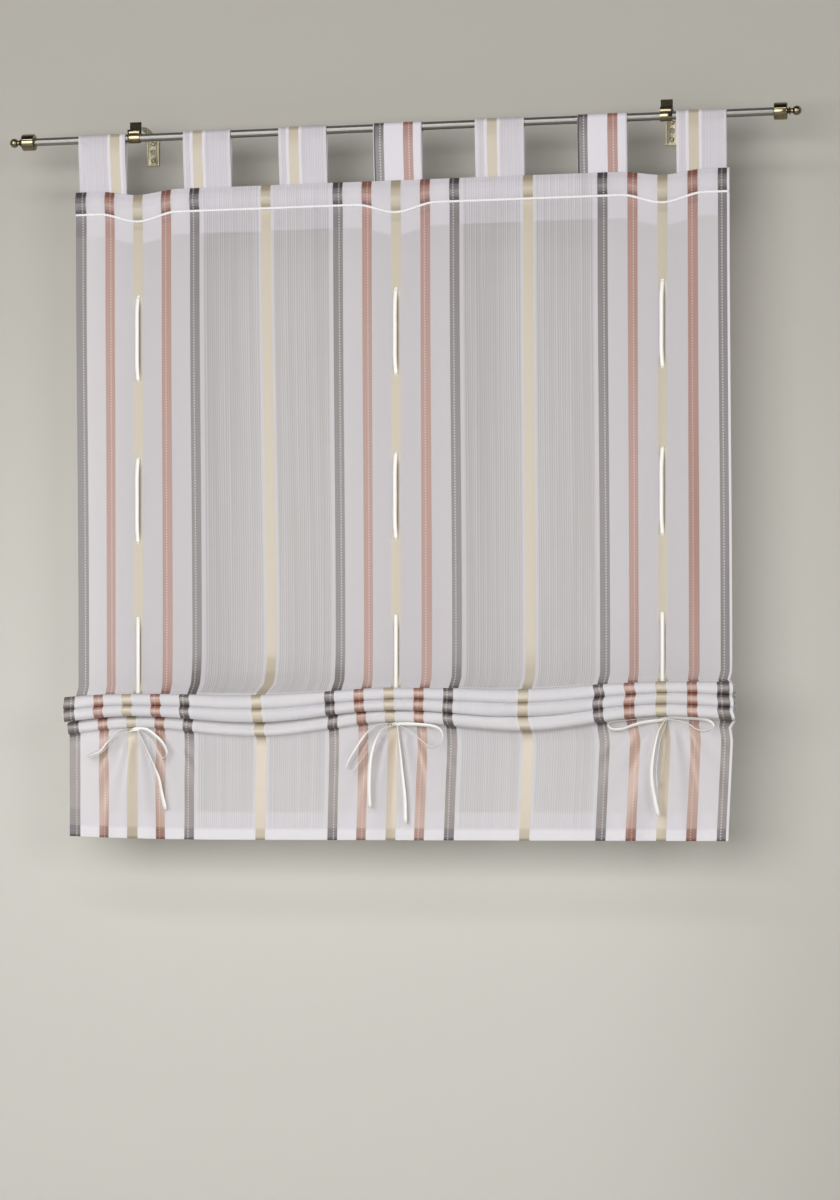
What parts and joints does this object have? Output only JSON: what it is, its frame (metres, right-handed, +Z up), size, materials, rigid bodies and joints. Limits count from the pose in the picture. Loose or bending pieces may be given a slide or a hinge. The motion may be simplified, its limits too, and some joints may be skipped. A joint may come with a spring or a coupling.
{
  "type": "tie-up curtain",
  "caption": "Sheer tab-top curtain on a wall rod, its lower part gathered in flat pleats by threaded ribbons tied in bows.",
  "frame": {"origin": "on the wall, midway between the two brackets, at the height of the rod's axis", "axes": "+X to the right along the rod, +Y into the wall, +Z up"},
  "size_m": [1.2092, 0.1955, 1.103],
  "materials": {
    "voile": "sheer white voile with woven vertical stripes in grey, rose and cream",
    "ribbon": "off-white satin ribbon, 6 mm wide",
    "rod_steel": "polished light steel tube",
    "antique_brass": "darkened, glossy antique brass",
    "screw_steel": "plated steel screws"
  },
  "bodies": {
    "root": {"curtain_cloth": "voile", "tab_1": "voile", "tab_2": "voile", "tab_3": "voile", "tab_4": "voile", "tab_5": "voile", "tab_6": "voile", "tab_7": "voile", "tie_ribbon_left": "ribbon", "tie_ribbon_centre": "ribbon", "tie_ribbon_right": "ribbon", "rod": "rod_steel", "finial_left": "antique_brass", "finial_right": "antique_brass", "bracket_left": "antique_brass", "bracket_right": "antique_brass", "screw_left_upper": "screw_steel", "screw_left_lower": "screw_steel", "screw_right_upper": "screw_steel", "screw_right_lower": "screw_steel"}
  },
  "joints": []
}
